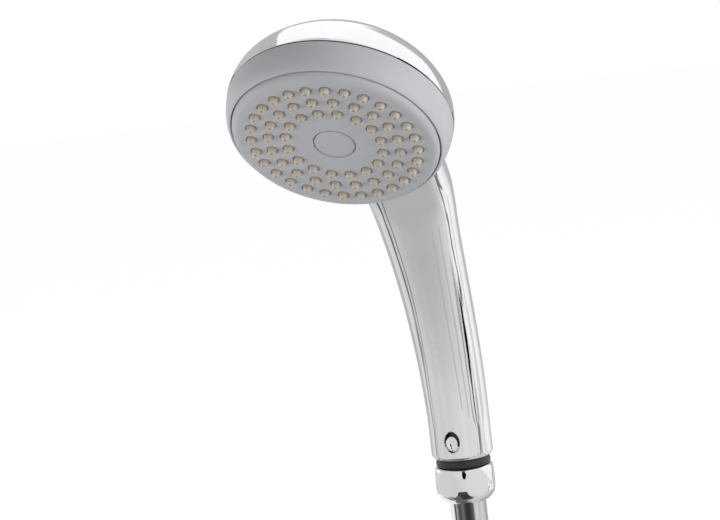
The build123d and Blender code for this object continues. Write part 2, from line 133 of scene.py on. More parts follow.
def apply_modifier(piece, kind, **settings):
    """Adds one modifier to a piece and applies it at once."""
    only(piece)
    modifier = piece.modifiers.new(kind.lower(), kind)
    for key, value in settings.items():
        setattr(modifier, key, value)
    bpy.ops.object.modifier_apply(modifier=modifier.name)
    return piece


def cut(piece, tool, operation="DIFFERENCE"):
    """Cuts one solid with another, or joins them; the tool is used up."""
    apply_modifier(piece, "BOOLEAN", object=tool, operation=operation, solver="EXACT")
    bpy.data.objects.remove(tool, do_unlink=True)
    return piece


def arc(centre_r, centre_z, radius, start, end, steps=6):
    """Outline points on a circle arc; angles in degrees from the outward direction."""
    points = []
    for step in range(steps + 1):
        angle = math.radians(start + (end - start) * step / steps)
        points.append((centre_r + radius * math.cos(angle), centre_z + radius * math.sin(angle)))
    return points


def add_to_body(piece, body, material, replaced=None):
    """Gives a finished piece its material and its moving body, and hides the CAD node it replaces."""
    piece.data.materials.clear()
    piece.data.materials.append(material)
    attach(piece, body)
    if replaced:
        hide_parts(replaced)
    print(piece.name, "faces", len(piece.data.polygons))


# %% [markdown]
# ## Chrome
# Chrome plate is a mirror. Its colour is a slightly cool white, and the little that
# tells it from a perfect mirror is a thin film of water marks: roughness that drifts
# a few hundredths over millimetres, and a very shallow ripple of the moulding below.


# %% Material helpers and chrome
def new_material(name):
    """A new material with its node tree and its main shader."""
    material = bpy.data.materials.new(name)
    material.use_nodes = True
    shader = material.node_tree.nodes["Principled BSDF"]
    return material, material.node_tree, shader


def noise(tree, scale, detail=3.0, rough=0.5):
    """Noise that reads the piece's own coordinates; scale counts cells per metre."""
    place = tree.nodes.new("ShaderNodeTexCoord")
    cells = tree.nodes.new("ShaderNodeTexNoise")
    cells.inputs["Scale"].default_value = scale
    cells.inputs["Detail"].default_value = detail
    cells.inputs["Roughness"].default_value = rough
    tree.links.new(place.outputs["Object"], cells.inputs["Vector"])
    return cells.outputs["Fac"]


def spread(tree, value, low, high):
    """Maps a noise value, which mostly lies between 0.3 and 0.7, to a range of roughness."""
    ramp = tree.nodes.new("ShaderNodeMapRange")
    ramp.inputs["From Min"].default_value = 0.3
    ramp.inputs["From Max"].default_value = 0.7
    ramp.inputs["To Min"].default_value = low
    ramp.inputs["To Max"].default_value = high
    tree.links.new(value, ramp.inputs["Value"])
    return ramp.outputs["Result"]


def bump(tree, shader, value, strength, distance):
    """Lets a noise value raise the surface by a distance in metres."""
    relief = tree.nodes.new("ShaderNodeBump")
    relief.inputs["Strength"].default_value = strength
    relief.inputs["Distance"].default_value = distance
    tree.links.new(value, relief.inputs["Height"])
    tree.links.new(relief.outputs["Normal"], shader.inputs["Normal"])


def two_tone(tree, shader, value, light, dark):
    """Base colour that drifts between two close tones."""
    mix = tree.nodes.new("ShaderNodeMix")
    mix.data_type = "RGBA"
    mix.inputs[6].default_value = (*dark, 1)
    mix.inputs[7].default_value = (*light, 1)
    tree.links.new(value, mix.inputs[0])
    tree.links.new(mix.outputs[2], shader.inputs["Base Color"])


FILM_CELLS, MARK_CELLS, WAVE_CELLS = 60, 220, 45  # per metre


def chrome_plate(name, low=0.025, high=0.06):
    """Plated mirror with a roughness that drifts from low to high."""
    material, tree, shader = new_material(name)
    shader.inputs["Metallic"].default_value = 1.0
    two_tone(tree, shader, noise(tree, FILM_CELLS), (0.90, 0.905, 0.915), (0.86, 0.868, 0.885))
    marks = noise(tree, MARK_CELLS, detail=5)
    tree.links.new(spread(tree, marks, low, high), shader.inputs["Roughness"])
    bump(tree, shader, noise(tree, WAVE_CELLS, detail=1), strength=0.05, distance=0.0004)
    return material


handle_chrome = chrome_plate("handle_chrome")
fitting_chrome = chrome_plate("fitting_chrome", 0.04, 0.09)
print("chrome materials made")

# %% [markdown]
# ## Moulded plastics and silicone
# The skirt and face are one satin light grey plastic: a fine spark-eroded grain
# scatters its highlights. The nozzles are soft cream silicone that lets a little
# light in. The connector is black glass-filled nylon, slightly mottled.


# %% Plastics
CLOUD_CELLS = 90  # slow drift of the colour, in cells per metre


def moulded(name, light, dark, rough, grain, depth, inner=0.0):
    """Moulded plastic: two close tones, a grain in cells per metre, and light let in."""
    material, tree, shader = new_material(name)
    two_tone(tree, shader, noise(tree, CLOUD_CELLS, 2), light, dark)
    satin = spread(tree, noise(tree, grain, 2), rough - 0.04, rough + 0.05)
    tree.links.new(satin, shader.inputs["Roughness"])
    bump(tree, shader, noise(tree, grain, 2), strength=0.25, distance=depth)
    if inner:
        shader.inputs["Subsurface Weight"].default_value = inner
        shader.inputs["Subsurface Scale"].default_value = 0.002
        shader.inputs["Subsurface Radius"].default_value = (1.0, 0.6, 0.4)
    return material


face_grey = moulded("face_grey", (0.500, 0.505, 0.528), (0.482, 0.487, 0.510), 0.38, 2600, 0.00001)
skirt_grey = moulded("skirt_grey", (0.535, 0.540, 0.565), (0.515, 0.520, 0.545), 0.34, 2600, 0.00001)
nozzle_cream = moulded(
    "nozzle_cream", (0.58, 0.52, 0.44), (0.53, 0.47, 0.395), 0.5, 1800, 0.00004, inner=0.1,
)
connector_black = moulded(
    "connector_black", (0.022, 0.022, 0.024), (0.014, 0.014, 0.016), 0.36, 1500, 0.00005,
)
seal_black = moulded("seal_black", (0.016, 0.016, 0.016), (0.010, 0.010, 0.010), 0.6, 2200, 0.00004)
inner_white = moulded("inner_white", (0.80, 0.80, 0.78), (0.76, 0.76, 0.74), 0.45, 2000, 0.00004)
print("plastics", [m.name for m in (face_grey, skirt_grey, nozzle_cream, connector_black, seal_black)])


# %% [markdown]
# ## Metals inside
# The sieve and screws are plain stainless steel, finely brushed, and the barbed tail
# is turned brass. They hardly show, but they are there when the nut comes down.


# %% Steel and brass
STAIN_CELLS, BRUSH_CELLS, SCRATCH_CELLS = 300, 1400, 2400  # per metre


def turned_metal(name, light, dark, rough):
    """Bare metal with the fine marks of the tool that turned it."""
    material, tree, shader = new_material(name)
    shader.inputs["Metallic"].default_value = 1.0
    two_tone(tree, shader, noise(tree, STAIN_CELLS), light, dark)
    brushed = spread(tree, noise(tree, BRUSH_CELLS), rough - 0.06, rough + 0.08)
    tree.links.new(brushed, shader.inputs["Roughness"])
    bump(tree, shader, noise(tree, SCRATCH_CELLS, 2), strength=0.2, distance=0.00002)
    return material


plain_steel = turned_metal("plain_steel", (0.62, 0.62, 0.63), (0.54, 0.54, 0.55), 0.3)
plain_brass = turned_metal("plain_brass", (0.74, 0.60, 0.33), (0.66, 0.52, 0.27), 0.28)
print("metals", plain_steel.name, plain_brass.name)

# %% [markdown]
# ## The pieces inside
# Seals, screws, chamber and tube stay as the CAD model has them, since nothing of
# them shows. They only need a finish, so that an opened shower head looks right:
# white mouldings, black rubber, steel and brass.

# %% Finishes of the pieces inside
CAD_FINISH = {
    "water_chamber": inner_white, "mixing_tube": inner_white, "jet_nozzle": inner_white,
    "flow_regulator": inner_white, "slip_ring": inner_white, "air_mixer": connector_black,
    "chamber_seal": seal_black, "screw_seal": seal_black, "tube_upper_oring": seal_black,
    "tube_lower_oring": seal_black, "jet_oring": seal_black, "connector_oring": seal_black,
    "regulator_ring": seal_black, "hose_washer": seal_black, "plate_screws": plain_steel,
    "centre_screw": plain_steel, "inlet_filter": plain_steel, "hose_tail": plain_brass,
}
for node, finish in CAD_FINISH.items():
    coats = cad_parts[node].data.materials
    coats.clear()
    coats.append(finish)
print("CAD nodes finished", len(CAD_FINISH))

# %% [markdown]
# ## Stations of the chromed handle
# Handle and dome are one moulding that flows from a round end to a flattened neck
# and spreads over the back of the head. A curve could be bevelled into such a tube,
# but its width and depth change apart from each other. So the centre line is given by
# a few stations, each with its own half width and half depth, and a smooth curve
# through them gives the rings in between.

# %% Stations of the handle's centre line
END_R = 13.05
SEAT_LEN = 16.0
NECK_HALF_W = 18.0
NECK_FLATTEN = 0.20
CURVE_POWER = 1.66
CONE_FOOT = -4.68  # the station below the end, which starts the curve straight
SPACES = 5
NECK = (  # place along the face, depth of the back, half width and half depth, as shares
    (1.29, 1.114, 0.460, 0.438),
    (0.86, 1.092, 0.490, 0.420),
    (0.43, 1.050, 0.490, 0.360),
    (0.00, 0.985, 0.450, 0.260),
)


def head_point(along, depth):
    """Y and Z of a point, in millimetres: along the face towards the handle, and out of it."""
    spot = HEAD @ (Vector((0, -along, depth)) * MM)
    return spot.y / MM, spot.z / MM


def centre_stations():
    """(y, z, half width, half depth) in millimetres, from the end up into the dome."""
    stations = [(0, CONE_FOOT, END_R, END_R)]
    for step in range(SPACES + 1):
        rise = step / SPACES
        height = SEAT_LEN + (HANDLE_RISE - SEAT_LEN) * rise
        half_w = END_R + (NECK_HALF_W - END_R) * (0.4 * rise + 0.6 * rise**4)
        half_d = half_w * (1 - NECK_FLATTEN * rise**3)
        stations.append((-HANDLE_LEAN * rise**CURVE_POWER, height, half_w, half_d))
    for along, back, half_w, half_d in NECK:
        y, z = head_point(along * HEAD_R, -(SEAM_DEPTH + DOME_DEPTH * (back - half_d)))
        stations.append((y, z, half_w * HEAD_R, half_d * DOME_DEPTH))
    return stations


def between(stations, place):
    """Smooth curve through the stations; place counts them from 0."""
    last = len(stations) - 1
    at = min(int(place), last - 1)
    t = place - at
    picks = [stations[max(0, min(last, at + step))] for step in (-1, 0, 1, 2)]
    values = []
    for a, b, c, d in zip(*picks):
        turn = (2 * a - 5 * b + 4 * c - d) / 2
        ease = (3 * b - a - 3 * c + d) / 2
        values.append(b + t * (c - a) / 2 + t**2 * turn + t**3 * ease)
    return values


stations = centre_stations()
PER_STATION = 5
NEARBY = 0.02  # how far along the curve its direction is read, in stations
rings = [(0, z, END_R, END_R, 0.0) for z in (-6.0, 4.0, 10.0)]
for step in range(PER_STATION, PER_STATION * (len(stations) - 1) + 1):
    place = step / PER_STATION
    y, z, half_w, half_d = between(stations, place)
    ahead, behind = between(stations, place + NEARBY), between(stations, place - NEARBY)
    lean = 0.0 if step == PER_STATION else math.atan2(behind[0] - ahead[0], ahead[1] - behind[1])
    rings.append((y, z, half_w, half_d, lean))
print("handle rings", len(rings))

# %% [markdown]
# ## The handle as a stack of rings
# The handle starts as one filled circle. Each next ring is extruded from the last,
# laid flat, resized in width and depth, and tilted to stand across the curve. This
# keeps the sides of the rings in line, so long reflections run without a kink.

# %% Handle
RING_SIDES = 96
bpy.ops.object.select_all(action="DESELECT")
bpy.ops.mesh.primitive_circle_add(
    vertices=RING_SIDES, radius=END_R * MM, location=(0, 0, 0), fill_type="NGON",
)
shell = bpy.context.object
shell.name = shell.data.name = "chrome_shell"
bpy.ops.object.mode_set(mode="EDIT")
bpy.ops.mesh.select_all(action="SELECT")
bpy.ops.transform.translate(value=(0, 0, rings[0][1] * MM))
y0, z0, w0, d0, lean0 = rings[0]
for y, z, half_w, half_d, lean in rings[1:]:
    centre, step = (0, y * MM, z * MM), (0, (y - y0) * MM, (z - z0) * MM)
    bpy.ops.mesh.extrude_region_move(TRANSFORM_OT_translate={"value": step})
    bpy.ops.transform.rotate(value=lean0, orient_axis="X", center_override=centre)
    bpy.ops.transform.resize(value=(half_w / w0, half_d / d0, 1), center_override=centre)
    bpy.ops.transform.rotate(value=-lean, orient_axis="X", center_override=centre)
    y0, z0, w0, d0, lean0 = y, z, half_w, half_d, lean
bpy.ops.mesh.select_all(action="SELECT")
bpy.ops.mesh.normals_make_consistent(inside=False)
bpy.ops.object.mode_set(mode="OBJECT")
print("handle height", [round(v / MM, 1) for v in (shell.dimensions.y, shell.dimensions.z)])

# %% [markdown]
# ## The dome
# On the real shower head no edge parts dome and handle. The dome is turned like a
# bowl and joined to the handle. The joined shell is then remeshed into small even
# faces and relaxed, which rounds the hollow between the two as a mould would.

# %% Dome, joined to the handle and relaxed
GRID = 0.0008
RELAX_ROUNDS = 25
DOME = [
    (0.0, -45.2), (6.0, -45.0), (12.0, -44.1), (17.5, -42.2), (22.5, -39.6), (27.0, -36.7), (31.0, -33.5),
    (34.6, -30.3), (37.3, -27.4), (39.4, -24.5), (40.9, -21.6), (41.8, -18.7), (42.2, -16.2), (42.4, -13.9),
    (42.4, -10.0), (0.0, -10.0),
]
dome = put(lathe("dome", DOME, 128, closed=False), HEAD)
cut(shell, dome, "UNION")
apply_modifier(shell, "REMESH", mode="VOXEL", voxel_size=GRID)
apply_modifier(shell, "SMOOTH", factor=0.5, iterations=RELAX_ROUNDS)
print("relaxed shell faces", len(shell.data.polygons))

# %% [markdown]
# ## The air hole
# Air is drawn in through a dished oval hole low on the handle. One turned cutter,
# stretched upright, presses the dish with its rounded rim. A plain hole behind it
# would look flat, so a second cutter leads on from the dish as the real port does.

# %% The dish of the air hole
AIR_HOLE_Z = 8.6
DISH_R = 3.35
DISH_TALL = 1.32
DISH_DEPTH = 2.8
DISH_ANGLES = (0.0, 0.25, 0.5, 0.75, 1.0, 1.25)
OUTSIDE = -6.0  # where the cutter starts, well in front of the handle
mouth = Matrix.Translation(Vector((0, -END_R, AIR_HOLE_Z)) * MM) @ Matrix.Rotation(math.radians(-90), 4, "X")
DISH = [
    (0.0, OUTSIDE), (DISH_R + 0.75, OUTSIDE), (DISH_R + 0.75, -0.30),
    (DISH_R + 0.38, 0.02), (DISH_R + 0.12, 0.30),
    *((DISH_R * math.cos(a), 0.7 + 2.1 * math.sin(a)) for a in DISH_ANGLES), (0.0, DISH_DEPTH),
]
upright = mouth @ Matrix.Diagonal((1, DISH_TALL, 1, 1))
cut(shell, put(lathe("dish", DISH, 48, closed=False), upright))
print("shell with dish", len(shell.data.polygons))

# %% [markdown]
# ## The port behind the dish
# The port is a slice of a tube about the handle's axis, a little wider than the dish.
# A tongue of metal is left standing in it, off the middle, so the port shows as a dark
# crescent. Its walls are later painted black: partly the black part behind them, partly painted shade inside
# the hole.

# %% The port
PORT_IN, PORT_OUT = 10.0, 12.35
PORT_LOW, PORT_HIGH = 4.0, 16.5
PORT_SIDE = 4.6
PORT = [(PORT_IN, PORT_LOW), (PORT_OUT, PORT_LOW), (PORT_OUT, PORT_HIGH), (PORT_IN, PORT_HIGH)]
port = lathe("port", PORT, 192)


def plug(name, radius, start, end, place):
    """A plain round plug, used as a cutter."""
    outline = [(0.0, start), (radius, start), (radius, end), (0.0, end)]
    return put(lathe(name, outline, 64, closed=False), place)


port_middle = Matrix.Translation(Vector((0.7, 0, 2.2)) * MM) @ mouth
tongue_middle = Matrix.Translation(Vector((-0.8, 0, -1.3)) * MM) @ mouth @ Matrix.Diagonal((2.5, 3.3, 1, 1))
cut(port, plug("port_side", PORT_SIDE, -1.0, 6.0, port_middle), "INTERSECT")
cut(port, plug("tongue", 1.0, -1.5, 6.5, tongue_middle))
cut(shell, port)
NEAR = 0.05  # millimetres that a face may lie off the cutter that made it


def in_port(spot):
    """True for a point on the walls of the port, beside its tongue."""
    sideways = (port_middle.inverted() @ spot).xy.length
    inwards = PORT_IN - NEAR < spot.xy.length / MM < PORT_OUT + NEAR
    beside = (tongue_middle.inverted() @ spot).xy.length > 0.985 * MM
    return inwards and beside and spot.y < 0 and sideways < (PORT_SIDE + NEAR) * MM


print("shell with air hole", len(shell.data.polygons))

# %% [markdown]
# ## The seam and the handle's end
# The shell is cut square at the seam, where the grey skirt begins, and just above
# the handle's lower end. The open edges are then extruded: at the end over a quarter
# round and up inside, at the seam over a tiny round and inwards, so that both edges
# show the thickness of a real wall.

# %% Cut at the seam and at the handle's end
SEAM_GAP = 0.1
END_ROUND = 2.2
END_BORE = 10.8
SEAM_RIM = ((0.9965, SEAM_GAP), (0.95, 0.0), (1.0, -2.0))  # size of each next ring, and how far out
HEAD_REACH = 60.0  # every point of the head is this near the seam's middle
ON_CUT = 1e-6  # points nearer than this to a cut, in metres, lie on it
seam = HEAD @ (Vector((0, 0, -SEAM_DEPTH - SEAM_GAP)) * MM)
spray_way = HEAD.to_3x3() @ Vector((0, 0, 1))


def select_near(piece, test):
    """Selects the vertices that pass a test, and the edges between them."""
    only(piece)
    bpy.ops.object.mode_set(mode="EDIT")
    bpy.ops.mesh.select_mode(type="VERT")
    bpy.ops.mesh.select_all(action="DESELECT")
    bpy.ops.object.mode_set(mode="OBJECT")
    for vertex in piece.data.vertices:
        vertex.select = test(vertex.co)
    bpy.ops.object.mode_set(mode="EDIT")
    bpy.ops.mesh.select_mode(type="EDGE")


select_near(shell, lambda co: (co - seam).length < HEAD_REACH * MM)
bpy.ops.mesh.bisect(plane_co=seam, plane_no=spray_way, clear_outer=True)
bpy.ops.mesh.select_all(action="SELECT")
bpy.ops.mesh.bisect(plane_co=(0, 0, END_ROUND * MM), plane_no=(0, 0, -1), clear_outer=True)
bpy.ops.object.mode_set(mode="OBJECT")
print("cut shell", len(shell.data.polygons))

# %% Round the cut edges
select_near(shell, lambda co: abs(co.z - END_ROUND * MM) < ON_CUT)
end_round = arc(END_R - END_ROUND, END_ROUND, END_ROUND, 0, -90, 7)[1:]
ring_r, ring_z = END_R, END_ROUND
for next_r, next_z in end_round + [(END_BORE, 0.0), (END_BORE, 3.0)]:
    bpy.ops.mesh.extrude_edges_move(TRANSFORM_OT_translate={"value": (0, 0, (next_z - ring_z) * MM)})
    size = next_r / ring_r
    bpy.ops.transform.resize(value=(size, size, 1), center_override=(0, 0, next_z * MM))
    ring_r, ring_z = next_r, next_z
bpy.ops.object.mode_set(mode="OBJECT")
select_near(shell, lambda co: abs((co - seam).dot(spray_way)) < ON_CUT)
for size, out in SEAM_RIM:
    bpy.ops.mesh.extrude_edges_move(TRANSFORM_OT_translate={"value": spray_way * out * MM})
    bpy.ops.transform.resize(value=(size, size, size), center_override=seam)
bpy.ops.object.mode_set(mode="OBJECT")
soften(shell, 40)
add_to_body(shell, "handset", handle_chrome, "handle_shell")
# The port's walls take the connector's black: partly the black part behind, partly painted shade inside the
# air hole.
shell.data.materials.append(connector_black)
for face in shell.data.polygons:
    face.material_index = int(in_port(face.center))
print("shell size", [round(v / MM, 2) for v in shell.dimensions])

# %% [markdown]
# ## The skirt
# Between the chrome and the plate runs a bulging grey skirt. It is one turned outline:
# a lip at the groove round the plate, a quick swell, then almost straight to the seam.
# The lathe suits it best, because the eye follows its outline all round the head.

# %% Skirt
SKIRT = [
    (38.85, -3.6), (38.9, -2.75), (39.05, -2.35), (39.35, -2.35), (39.75, -2.75), (40.25, -3.5),
    (40.75, -4.6), (41.2, -6.0), (41.6, -7.6), (41.9, -9.3), (42.1, -11.0), (42.25, -12.6),
    (42.3, -13.15), (42.2, -13.42), (42.0, -13.55), (40.0, -13.55), (40.0, -16.0), (38.8, -16.0),
    (38.8, -5.0),
]
skirt = put(lathe("skirt", SKIRT, 160), HEAD)
soften(skirt, 40)
add_to_body(skirt, "handset", skirt_grey, "face_ring")

# %% [markdown]
# ## The painted shadow ring in the seam
# Where skirt and dome meet stands a fine gap, which looks black because it lies in shade. A thin
# black ring set a little below both surfaces is painted shade: it draws that shadow evenly, whatever the
# light does in the gap.

# %% Seam shadow ring, painted shade
SHADOW_RING = [(41.95, -13.4), (41.95, -14.3), (40.6, -14.3), (40.6, -13.4)]
shadow_ring = put(lathe("seam_shadow_ring", SHADOW_RING, 160), HEAD)
soften(shadow_ring, 40)
# The ring takes the seals' black rubber, but it stands for the shadow in the seam's gap: painted shade.
add_to_body(shadow_ring, "handset", seal_black)

# %% [markdown]
# ## The spray plate
# The plate is a moulded disc with a soft rounded rim. Sixty-four nozzles look out of
# it in three rings. Their places are worked out once, as shares of the plate's
# radius, because pockets and nozzles both need them.

# %% Spray plate and the nozzles' places
GROOVE_R = HEAD_R - 3.8
PLATE_R = GROOVE_R - 0.3
EDGE_DROP = 2.9
CAP_HOLE_R = 8.6
RINGS = ((0.797, 28), (0.630, 20), (0.465, 16))
PLATE = (
    [(CAP_HOLE_R, 0.0), (35.6, 0.0)] + arc(PLATE_R - EDGE_DROP, -EDGE_DROP, EDGE_DROP, 90, 0, 10)
    + [(PLATE_R, -6.8), (35.0, -6.8), (35.0, -2.4), (CAP_HOLE_R, -2.4)]
)
plate = lathe("spray_plate_visible", PLATE, 160)
spots = []
for share, count in RINGS:
    for k in range(count):
        turn = math.tau * (k / count + 0.25)
        spots.append((share * GROOVE_R * math.cos(turn), share * GROOVE_R * math.sin(turn)))
print("nozzle places", len(spots))

# %% [markdown]
# ## A pocket for every nozzle
# Each nozzle stands in a small pocket with rounded lips, which rings it with shade.
# One cutter is turned and copied to all places, and a single boolean cuts them all,
# which is quicker and cleaner than sixty-four cuts.

# %% Copies and pockets
def copies(name, model, places):
    """Copies one model to many places and joins the copies into one piece."""
    made = []
    for x, y in places:
        copy = model.copy()
        copy.data = model.data.copy()
        bpy.context.collection.objects.link(copy)
        copy.location = (x * MM, y * MM, 0)
        made.append(copy)
    bpy.data.objects.remove(model, do_unlink=True)
    bpy.ops.object.select_all(action="DESELECT")
    for copy in made:
        copy.select_set(True)
    bpy.context.view_layer.objects.active = made[0]
    bpy.ops.object.transform_apply(location=True, rotation=True, scale=True)
    bpy.ops.object.join()
    made[0].name = made[0].data.name = name
    return made[0]


POCKET = [
    (0.0, 0.6), (3.1, 0.6), (2.35, 0.0), (2.15, -0.2), (2.08, -0.75), (1.72, -0.8), (1.72, -3.4), (0.0, -3.4),
]
pockets = copies("pockets", lathe("pocket", POCKET, 28, closed=False), spots)
cut(plate, pockets)
put(plate, HEAD)
soften(plate, 35)
add_to_body(plate, "handset", face_grey, "spray_plate")

# %% [markdown]
# ## Nozzles
# Sixty-four soft nozzles stand in three rings. Each is a short cone with a rounded
# shoulder and a water hole. One is turned with few sides, because there are many, and
# copied; they all belong to one mat of silicone behind the plate.

# %% Nozzles
NOZZLE = [
    (1.68, -2.4), (1.66, -0.6), (1.58, 0.25), (1.43, 0.9), (1.27, 1.4), (1.08, 1.68), (0.82, 1.80),
    (0.52, 1.80), (0.42, 1.72), (0.38, 1.30), (0.0, 1.25),
]
mat = copies("nozzles", lathe("nozzle", NOZZLE, 24, closed=False), spots)
put(mat, HEAD)
soften(mat, 50)
BACKING = [(6.0, -2.5), (34.8, -2.5), (34.8, -4.1), (6.0, -4.1)]
backing = put(lathe("nozzle_backing", BACKING, 96), HEAD)
bpy.ops.object.select_all(action="DESELECT")
mat.select_set(True)
backing.select_set(True)
bpy.context.view_layer.objects.active = mat
bpy.ops.object.join()
add_to_body(mat, "handset", nozzle_cream, "nozzle_mat")

# %% [markdown]
# ## The plain cap
# A small domed cap hides the fixing screw. A fine groove runs round it, so it reads
# as a separate piece although it is the same grey. It is left plain. The seat is the
# ring of the plate that the cap is pressed into, turned on its own to keep it fine.

# %% Cap and its seat
CAP = [
    (0.0, 0.52), (2.5, 0.47), (4.6, 0.34), (6.2, 0.14), (7.0, -0.02), (7.35, -0.16), (7.5, -0.4), (7.5, -1.3),
    (0.0, -1.3),
]
cap = put(lathe("cap", CAP, 96, closed=False), HEAD)
soften(cap, 40)
add_to_body(cap, "handset", face_grey, "centre_cap")
SEAT = [
    (8.7, 0.0), (8.25, -0.02), (8.0, -0.2), (7.9, -0.5), (7.9, -1.4), (4.4, -1.45), (4.4, -2.4), (8.7, -2.4),
]
seat = put(lathe("cap_seat", SEAT, 96), HEAD)
soften(seat, 40)
add_to_body(seat, "handset", face_grey)

# %% [markdown]
# ## The black connector
# The connector shows as a soft black collar under the handle. Its thread, below, only
# shows when the nut is off. The real thread is a helix; rings of the same pitch and
# depth look alike at this size and keep the piece one clean turned outline.

# %% Connector
COLLAR_T = 3.4
THREAD_LEN = 7.4
THREAD_FOOT = -COLLAR_T - THREAD_LEN
PITCH = 1.814
ROOT_R, CREST_R = 9.45, 10.35
BORE_R, WIDE_BORE_R = 4.6, 7.4
thread = []
height = -COLLAR_T - 0.5
while height > THREAD_FOOT + PITCH:
    for radius, below in ((ROOT_R, 0), (ROOT_R, 0.35), (CREST_R, 0.80), (CREST_R, 1.05), (ROOT_R, 1.5)):
        thread.append((radius, height - below))
    height -= PITCH
COLLAR = [
    (10.5, 0.0), (10.7, -0.05), (11.1, -0.55), (11.38, -1.15), (11.53, -1.8), (11.53, -2.4), (11.4, -2.95),
    (11.15, -3.3), (10.9, -COLLAR_T),
]
FOOT = [
    (ROOT_R, THREAD_FOOT + 0.4), (9.1, THREAD_FOOT), (WIDE_BORE_R, THREAD_FOOT),
    (WIDE_BORE_R, THREAD_FOOT + 4.6), (BORE_R, THREAD_FOOT + 4.6),
]
connector = lathe("connector_visible", [(BORE_R, 2.0), (10.5, 2.0)] + COLLAR + thread + FOOT, 96)
soften(connector, 35)
add_to_body(connector, "handset", connector_black, "hose_connector")

# %% [markdown]
# ## The swivel nut
# The nut is a turned barrel on which six flats have been milled. Cutting the barrel
# with a hexagonal prism does just that, and each flat ends in a round edge by itself.
# A small bevel on those edges gives them the thin highlights of a polished nut.

# %% Swivel nut
NUT_TOP = -COLLAR_T - 0.3
NUT = [(radius, NUT_TOP - below) for radius, below in (
    (10.6, 0.0), (11.4, 0.0), (11.9, 0.35), (12.35, 1.3), (12.75, 3.1), (12.97, 5.3), (13.0, 7.0),
    (12.93, 8.7), (12.66, 10.4), (12.15, 11.8), (11.4, 13.0), (10.5, 14.0), (9.8, 14.6), (9.3, 15.0),
    (8.1, 15.0), (8.1, 12.3), (10.6, 12.3),
)]
nut = lathe("nut", NUT, 128)
FLAT_R = 23.9 / 2
FLATS_TURN = math.radians(10)
bpy.ops.object.select_all(action="DESELECT")
bpy.ops.mesh.primitive_cylinder_add(
    vertices=6, radius=FLAT_R / math.cos(math.pi / 6) * MM, depth=40 * MM, location=(0, 0, -10 * MM),
    rotation=(0, 0, FLATS_TURN),
)
prism = bpy.context.object
bpy.ops.object.transform_apply(location=True, rotation=True, scale=True)
cut(nut, prism, "INTERSECT")
apply_modifier(nut, "BEVEL", width=0.3 * MM, segments=3, limit_method="ANGLE", angle_limit=math.radians(12))
soften(nut, 20)
add_to_body(nut, "nut", fitting_chrome, "swivel_nut")

# %% [markdown]
# ## The sleeve of the hose
# A plain chromed tube with a rounded shoulder under the nut. The hose would be
# pressed into its open end, so it is turned with its bore and a real wall.

# %% Sleeve
SLEEVE_TOP = NUT_TOP - 13.45
SLEEVE_FOOT = -45.0
SLEEVE_R = 7.75
SHOULDER, LIP = 0.5, 0.25
SLEEVE = (
    [(5.3, SLEEVE_TOP - 0.05), (7.2, SLEEVE_TOP)]
    + arc(SLEEVE_R - SHOULDER, SLEEVE_TOP - SHOULDER, SHOULDER, 90, 0, 4) + [(SLEEVE_R, -30.0)]
    + arc(SLEEVE_R - LIP, SLEEVE_FOOT + LIP, LIP, 0, -90, 3)
    + [(7.1, SLEEVE_FOOT), (7.1, -32.0), (6.8, -32.0), (6.8, SLEEVE_TOP - 1.45), (5.3, SLEEVE_TOP - 1.45)]
)
sleeve = lathe("sleeve", SLEEVE, 96)
soften(sleeve, 35)
add_to_body(sleeve, "hose_end", fitting_chrome, "hose_sleeve")

# %% [markdown]
# ## The camera
# A long lens from a little under a metre away keeps the head from swelling. The four
# vectors say where the camera stands and which way its right, its top and its view
# point, and together they are its matrix.

# %% Camera
EYE = Vector((0.27172, -0.83784, 0.20229))
RIGHT = Vector((0.93762, 0.32798, -0.11533))
UP = Vector((0.06498, 0.16056, 0.98488))
AHEAD = Vector((-0.34154, 0.93094, -0.12923))
camera_data = bpy.data.cameras.new("camera")
camera_data.lens = 106.57
camera_data.sensor_width = 36
camera = bpy.data.objects.new("camera", camera_data)
bpy.context.collection.objects.link(camera)
camera.matrix_world = Matrix((
    (RIGHT.x, UP.x, -AHEAD.x, EYE.x),
    (RIGHT.y, UP.y, -AHEAD.y, EYE.y),
    (RIGHT.z, UP.z, -AHEAD.z, EYE.z),
    (0, 0, 0, 1),
))
bpy.context.scene.camera = camera
print("camera lens", camera_data.lens)

# %% [markdown]
# ## White surroundings
# The room is white to the eye and in the chrome, but lights the object only dimly, so
# that the lamps can model the grey face. A light path node tells the two cases apart.

# %% World
ROOM_LIGHT = 0.27
world = bpy.data.worlds.new("white_room")
bpy.context.scene.world = world
world.use_nodes = True
tree = world.node_tree
background = tree.nodes["Background"]
background.inputs["Color"].default_value = (1, 1, 1, 1)
path = tree.nodes.new("ShaderNodeLightPath")
first = tree.nodes.new("ShaderNodeMath")
first.operation = "MAXIMUM"
tree.links.new(path.outputs["Is Camera Ray"], first.inputs[0])
tree.links.new(path.outputs["Is Glossy Ray"], first.inputs[1])
seen = tree.nodes.new("ShaderNodeMath")
seen.operation = "MAXIMUM"
tree.links.new(first.outputs[0], seen.inputs[0])
tree.links.new(path.outputs["Is Transmission Ray"], seen.inputs[1])
level = tree.nodes.new("ShaderNodeMapRange")
level.inputs["To Min"].default_value = ROOM_LIGHT
level.inputs["To Max"].default_value = 1.0
tree.links.new(seen.outputs[0], level.inputs["Value"])
tree.links.new(level.outputs["Result"], background.inputs["Strength"])
bpy.context.scene.view_settings.view_transform = "Standard"
print("room light", ROOM_LIGHT)

# %% [markdown]
# ## The pale floor
# A large plain disc well below the object. It takes the object's soft shadow, and a
# little light of its own, seen by the camera only, lets it run into the white room.
# Chrome would show its rim, so reflections leave it out.

